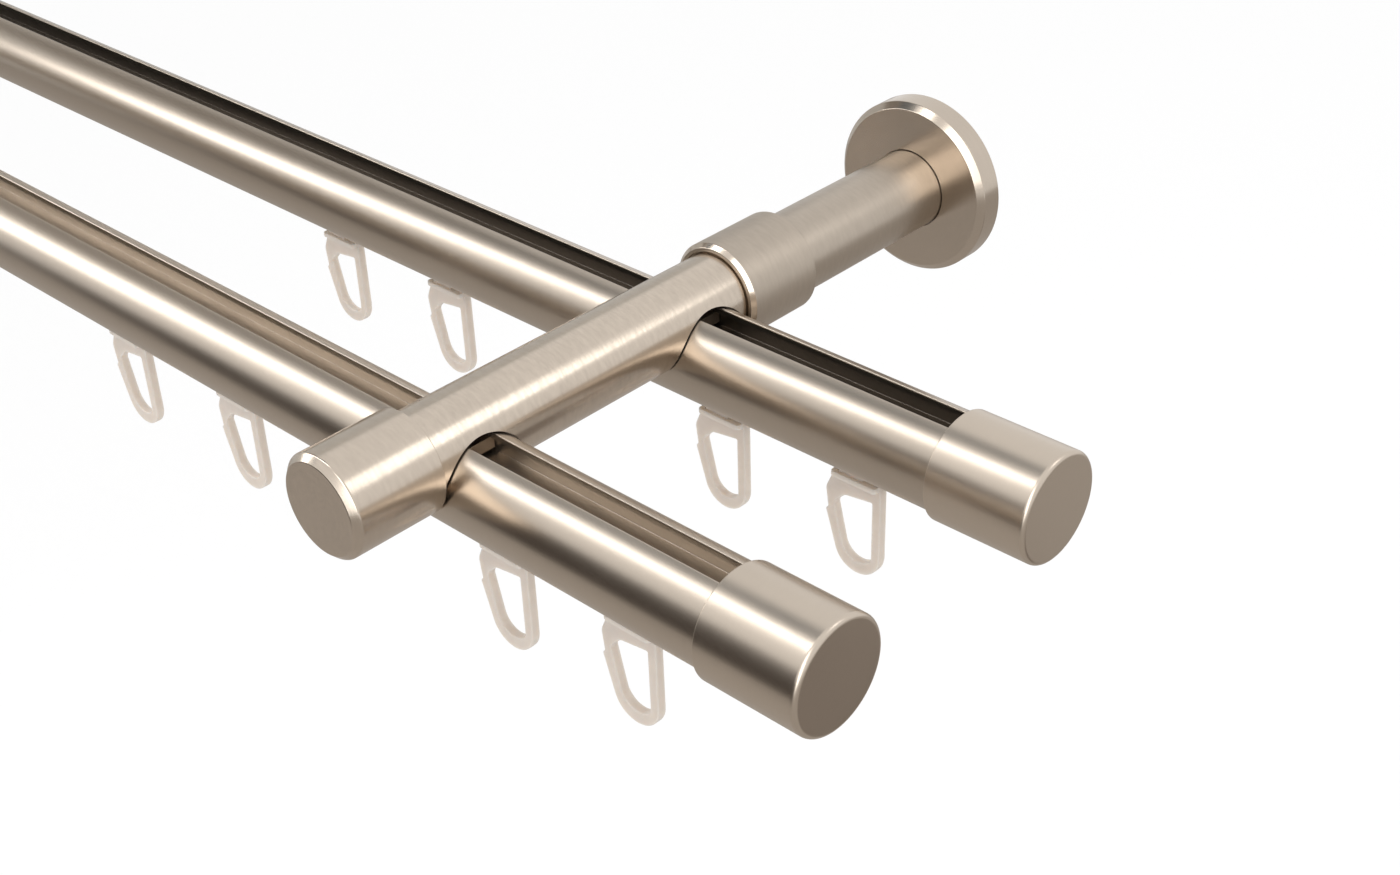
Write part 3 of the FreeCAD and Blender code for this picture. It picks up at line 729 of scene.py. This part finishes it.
class CURTAIN_OT_poles(Operator):
    """Extrudes the two poles with their channel, hollow and inner track"""

    bl_idname = "curtain.poles"
    bl_label = "Poles"

    def execute(self, context):
        metal = settings().metal
        for pole in POLES:
            node = f"{pole}_pole"
            low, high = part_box(node)
            centre, radius = pole_line(pole)
            work = self.section(settings().poles, radius)
            bmesh.ops.translate(work, verts=work.verts[:], vec=(low.x, centre.y, centre.z))
            bmesh.ops.triangle_fill(work, use_beauty=True, use_dissolve=True,
                                    edges=work.edges[:], normal=(1, 0, 0))
            far = bmesh.ops.extrude_face_region(work, geom=work.faces[:], use_keep_orig=True)
            bmesh.ops.translate(work, verts=corners_in(far["geom"]),
                                vec=(high.x - low.x, 0, 0))
            mark_sharp(work)
            for face in work.faces:
                off_axis = face.calc_center_median() - centre
                off_axis.x = 0
                inside = off_axis.length < radius - POLE_SKIN
                face.material_index = 1 if inside and abs(face.normal.x) < END_TILT else 0
            # The rear pole's lower brightness is painted shade
            nickel = brushed_metal(f"{node}_nickel", "X", centre, metal.pole_roughness,
                                   POLE_PAINTED_SHADES[node], MARKS["pole"])
            # The track's darkness inside the pole is painted shade
            track = brushed_metal(f"{node}_track", "X", centre, metal.track_roughness,
                                  TRACK_PAINTED_SHADES[node], MARKS["track"], drawn=True)
            piece = new_piece(f"{node}_extrusion", work, nickel, MAIN_BODY, [node])
            piece.data.materials.append(track)
        return {"FINISHED"}

    def section(self, sizes, radius):
        """The pole's section as wires: one half from top to bottom, then mirrored."""
        work = bmesh.new()
        opening, slot = sizes.channel_opening / 2, sizes.slot_width / 2
        lip_z, floor_z = radius - sizes.channel_lip, radius - sizes.channel_depth
        shelf_z = sizes.slot_lip - radius
        roof_z = shelf_z + sizes.runway_height
        channel, runway = sizes.channel_width / 2, sizes.runway_width / 2
        top, bottom = math.asin(opening / radius), math.asin(slot / radius)
        inner = sizes.inner_round
        lip_top = self.chain(work, [
            (0, floor_z, 0), (channel, floor_z, inner), (channel, lip_z, inner),
            (opening, lip_z, inner), (opening, radius * math.cos(top), 0)])
        around = bmesh.ops.spin(work, geom=[lip_top], cent=(0, 0, 0), axis=(1, 0, 0),
                                angle=top + bottom - math.pi, steps=TURNED_STEPS // 2)
        lip_low = corners_in(around["geom_last"])[0]
        self.chain(work, [
            (slot, -radius * math.cos(bottom), 0), (slot, shelf_z, inner),
            (runway, shelf_z, inner), (runway, roof_z, inner), (0, roof_z, 0)], first=lip_low)
        for corner in (lip_top, lip_low):
            round_corner(work, corner, sizes.lip_round, LIP_STEPS)
        side = radius - sizes.pole_wall
        low, high = roof_z + sizes.web, floor_z - sizes.web
        self.chain(work, [(0, low, 0), (side, low, sizes.hollow_round),
                          (side, high, sizes.hollow_round), (0, high, 0)])
        bmesh.ops.mirror(work, geom=work.verts[:] + work.edges[:], matrix=Matrix.Identity(4),
                         merge_dist=MERGE, axis="Y")
        return work

    def chain(self, work, corners, first=None):
        """Joins (across, up, round) corners with edges and rounds them; gives the last one."""
        points = [work.verts.new((0, across, up)) for across, up, rounding in corners]
        if first is not None:
            work.verts.remove(points[0])
            points[0] = first
        join(work, points)
        for point, (across, up, rounding) in zip(points[1:-1], corners[1:-1]):
            round_corner(work, point, rounding, CORNER_STEPS)
        return points[-1]


class CURTAIN_OT_gliders(Operator):
    """Moulds the gliders with their flanges and hook loops"""

    bl_idname = "curtain.gliders"
    bl_label = "Gliders"

    def execute(self, context):
        sizes = settings().gliders
        plastic = milky_plastic("glider_plastic")
        pattern = self.mould(sizes)
        for node in GLIDERS:
            low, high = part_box(node)
            place = Vector((high.x - sizes.half_width, (low.y + high.y) / 2, low.z + sizes.drop))
            work = pattern.copy()
            bmesh.ops.translate(work, verts=work.verts[:], vec=place)
            new_piece(f"{node}_moulding", work, plastic, node, [node])
        pattern.free()
        return {"FINISHED"}

    def mould(self, sizes):
        """One glider about the pole's axis."""
        flange_z = -sizes.flange_top - sizes.flange_height / 2
        head_z = sizes.head_height / 2 - sizes.head_bottom
        neck = self.block(sizes.neck_length, sizes.neck_width, flange_z, head_z,
                          sizes.block_edge)
        head = self.block(sizes.head_length, sizes.head_width, -sizes.head_bottom,
                          sizes.head_height - sizes.head_bottom, sizes.block_edge)
        solid = closed(self.loop(sizes, flange_z))
        for part in (self.flange(sizes), neck, head):
            combine(solid, "UNION", closed(part))
        work = opened(solid)
        mark_sharp(work)
        return work

    def loop(self, sizes, flange_z):
        """The hook loop with its catch and its opening, up to the middle of the flange."""
        top = -sizes.flange_top - sizes.flange_height
        half, catch_z = sizes.half_width, top - sizes.catch
        bar_z = top - sizes.bar
        fallen_z = bar_z - sizes.bar_fall
        straight, leaning = half - sizes.leg, sizes.leg - half
        inner_z = sizes.foot + sizes.inner_bend - sizes.drop
        rise = math.sqrt(sizes.inner_bend ** 2 - (straight - sizes.inner_lean) ** 2)
        work = bmesh.new()
        self.outline(work, [
            (half, top - sizes.ledge, sizes.ledge_round), (sizes.flange_right, flange_z, 0),
            (-sizes.flange_left, flange_z, 0),
            (-half, top - sizes.shoulder, sizes.shoulder_round),
            (sizes.catch_step - half, catch_z + sizes.catch_step, sizes.catch_round),
            (-half, catch_z, sizes.catch_tip),
        ], (sizes.lean, sizes.bend - sizes.drop), sizes.bend)
        self.outline(work, [
            (straight, bar_z, sizes.bar_round),
            (leaning + sizes.gusset, fallen_z, sizes.gusset_top),
            (leaning, fallen_z - sizes.gusset, sizes.gusset_foot),
        ], (sizes.inner_lean, inner_z), sizes.inner_bend,
            corner=(straight, inner_z - rise, sizes.inner_corner))
        self.thicken(work, sizes.depth, "Y", sizes.edge, LOOP_EDGE_STEPS)
        return work

    def flange(self, sizes):
        work = bmesh.new()
        left, right, deep = -sizes.flange_left, sizes.flange_right, sizes.flange_width / 2
        corners = [work.verts.new((across, along, -sizes.flange_top)) for across, along in
                   ((left, -deep), (right, -deep), (right, deep), (left, deep))]
        join(work, corners + corners[:1])
        for corner in corners:
            round_corner(work, corner, sizes.flange_round, CORNER_STEPS)
        self.thicken(work, -sizes.flange_height, "Z", sizes.flange_edge, FINE_STEPS)
        return work

    def block(self, length, width, low, high, edge):
        """A block along the pole between two heights, with rounded edges."""
        work = bmesh.new()
        bmesh.ops.create_cube(work, size=1.0)
        bmesh.ops.scale(work, verts=work.verts[:], vec=(length, width, high - low))
        bmesh.ops.translate(work, verts=work.verts[:], vec=(0, 0, (low + high) / 2))
        bmesh.ops.bevel(work, geom=work.edges[:], offset=edge, segments=FINE_STEPS,
                        profile=0.5, affect="EDGES", material=-1)
        return work

    def outline(self, work, points, centre, radius, corner=None):
        """Wires through (across, up, round) points that run smoothly into a bend.

        The bend's far end runs smoothly into the first point too, or else ends at a corner.
        """
        start = self.touch(points[-1], centre, radius, 1)
        if corner is None:
            end = self.touch(points[0], centre, radius, -1)
        else:
            end = Vector((corner[0] - centre[0], corner[1] - centre[1]))
        around = work.verts.new((centre[0] + start.x, 0, centre[1] + start.y))
        turn = math.atan2(end.y, end.x) - math.atan2(start.y, start.x)
        bend = bmesh.ops.spin(work, geom=[around], cent=(centre[0], 0, centre[1]),
                              axis=(0, -1, 0), angle=turn % (2 * math.pi),
                              steps=LOOP_BEND_STEPS)
        chain = [corners_in(bend["geom_last"])[0]]
        chain += [work.verts.new((across, 0, up)) for across, up, rounding in points]
        join(work, chain + [around])
        rounds = [corner[2] if corner is not None else 0] + [point[2] for point in points]
        for vertex, rounding in zip(chain, rounds):
            round_corner(work, vertex, rounding, LOOP_CORNER_STEPS)

    def touch(self, point, centre, radius, side):
        """Where a line from a point touches the bend, from the bend's centre."""
        away = Vector((point[0] - centre[0], point[1] - centre[1]))
        turn = math.atan2(away.y, away.x) + side * math.acos(radius / away.length)
        return Vector((math.cos(turn), math.sin(turn))) * radius

    def thicken(self, work, thickness, axis, edge, steps):
        """Fills flat wires, gives them a thickness and rounds the outlines of both faces."""
        normal = Vector((0, 1, 0)) if axis == "Y" else Vector((0, 0, 1))
        bmesh.ops.triangle_fill(work, use_beauty=True, use_dissolve=True,
                                edges=work.edges[:], normal=normal)
        if axis == "Y":
            bmesh.ops.translate(work, verts=work.verts[:], vec=normal * (-thickness / 2))
        far = bmesh.ops.extrude_face_region(work, geom=work.faces[:], use_keep_orig=True)
        bmesh.ops.translate(work, verts=corners_in(far["geom"]), vec=normal * thickness)
        bmesh.ops.recalc_face_normals(work, faces=work.faces[:])
        rims = [side for side in work.edges
                if abs((side.verts[0].co - side.verts[1].co).dot(normal)) < MERGE
                and side.calc_face_angle(0) > RIM]
        bmesh.ops.bevel(work, geom=rims, offset=edge, segments=steps, profile=0.5,
                        affect="EDGES", material=-1, clamp_overlap=True)


class CURTAIN_OT_fasteners(Operator):
    """Gives the set screws and the pole hangers their plain steel"""

    bl_idname = "curtain.fasteners"
    bl_label = "Fasteners"

    def execute(self, context):
        metal = settings().metal
        steel = brushed_metal("fastener_steel", "X", Vector(), metal.bar_roughness,
                              metal.dull_shade, drawn=True)
        for node in ("sleeve_set_screws", "pole_hangers"):
            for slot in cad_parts[node].material_slots:
                slot.material = steel
        return {"FINISHED"}


class CURTAIN_OT_stage(Operator):
    """Sets the camera, the lamps and the floor"""

    bl_idname = "curtain.stage"
    bl_label = "Stage"

    def execute(self, context):
        stage = settings().stage
        self.camera(stage)
        self.floor(stage)
        self.world()
        for name, (stand, extent, radiance) in LAMPS.items():
            self.lamp(name, self.aim(*stand), extent, radiance)
        for name, (stand, extent, shade) in CARDS.items():
            self.card(name, self.aim(*stand), extent, shade)
        context.scene.view_settings.view_transform = "Standard"
        return {"FINISHED"}

    def camera(self, stage):
        data = bpy.data.cameras.new("camera")
        data.lens = stage.lens
        data.sensor_width = SENSOR_WIDTH
        data.clip_start = 10 * MM
        camera = placed("camera", data)
        turn = Matrix.Rotation(stage.camera_azimuth, 4, "Z")
        tip = Matrix.Rotation(math.pi / 2 - stage.camera_elevation, 4, "X")
        roll = Matrix.Rotation(stage.camera_roll, 4, "Z")
        camera.matrix_world = Matrix.Translation(stage.camera_place) @ turn @ tip @ roll
        bpy.context.scene.camera = camera

    def floor(self, stage):
        work = bmesh.new()
        bmesh.ops.create_circle(work, cap_ends=True, segments=FLOOR_STEPS, radius=FLOOR_RADIUS)
        bmesh.ops.translate(work, verts=work.verts[:], vec=(0, 0, -stage.floor_drop))
        self.sheet("floor", work, stage.floor_shade)

    def sheet(self, name, work, shade):
        """A plain matt sheet that belongs to the stage."""
        mesh = as_mesh(name, work)
        material = bpy.data.materials.new(f"{name}_paper")
        bench = Bench(material)
        bench.finish(bench.node("ShaderNodeBsdfDiffuse", None, {"Color": (*shade, 1)}))
        mesh.materials.append(material)
        sheet = placed(name, mesh)
        return sheet

    def world(self):
        world = bpy.data.worlds.new("studio")
        bpy.context.scene.world = world
        bench = Bench(world)
        sky = bench.node("ShaderNodeBackground", None, {"Color": (1, 1, 1, 1), "Strength": 1.0})
        bench.finish(sky, "ShaderNodeOutputWorld")

    def aim(self, azimuth, elevation, distance, lean):
        """Where a lamp or card stands, seen from the right bracket, and facing it."""
        flat = math.cos(math.radians(elevation))
        toward = Vector((flat * math.cos(math.radians(azimuth)),
                         flat * math.sin(math.radians(azimuth)),
                         math.sin(math.radians(elevation))))
        return (Matrix.Translation(RIGHT_BRACKET + toward * distance)
                @ toward.to_track_quat("Z", "Y").to_matrix().to_4x4()
                @ Matrix.Rotation(math.radians(lean), 4, "Z"))

    def lamp(self, name, place, extent, radiance):
        """A softbox that the camera doesn't see."""
        data = bpy.data.lights.new(name, "AREA")
        data.shape = "RECTANGLE"
        data.size, data.size_y = extent
        data.energy = radiance * math.pi * extent[0] * extent[1]
        lamp = placed(name, data)
        lamp.matrix_world = place
        lamp.visible_camera = False
        lamp.visible_diffuse = name not in GLINTS

    def card(self, name, place, extent, shade):
        """A matt card that only the metal's reflections see."""
        work = bmesh.new()
        bmesh.ops.create_grid(work, x_segments=1, y_segments=1, size=0.5)
        bmesh.ops.scale(work, verts=work.verts[:], vec=(*extent, 1))
        work.transform(place)
        card = self.sheet(name, work, shade)
        card.visible_camera = False
        card.visible_diffuse = False
        card.visible_shadow = False
        card.visible_transmission = False


class CURTAIN_PT_panel(Panel):
    """Lists the steps that dress the pole"""

    bl_idname = "CURTAIN_PT_panel"
    bl_label = "Curtain pole"
    bl_space_type = "VIEW_3D"
    bl_region_type = "UI"
    bl_category = "Curtain Pole"

    def draw(self, context):
        for operator in STEPS:
            self.layout.operator(operator.bl_idname)


STEPS = (CURTAIN_OT_poles, CURTAIN_OT_arms, CURTAIN_OT_end_caps, CURTAIN_OT_front_caps,
         CURTAIN_OT_sleeves, CURTAIN_OT_wall_bars, CURTAIN_OT_roses, CURTAIN_OT_fasteners,
         CURTAIN_OT_gliders, CURTAIN_OT_stage)
CLASSES = (PoleSettings, TurnedSettings, GliderSettings, MetalSettings, PlasticSettings,
           StageSettings, CurtainPoleSettings, *STEPS, CURTAIN_PT_panel)


def register():
    for each in CLASSES:
        bpy.utils.register_class(each)
    bpy.types.Scene.curtain_pole = PointerProperty(type=CurtainPoleSettings)


def unregister():
    del bpy.types.Scene.curtain_pole
    for each in reversed(CLASSES):
        bpy.utils.unregister_class(each)


def main():
    register()
    for step in STEPS:
        group, name = step.bl_idname.split(".")
        getattr(getattr(bpy.ops, group), name)()


if __name__ == "__main__":
    main()
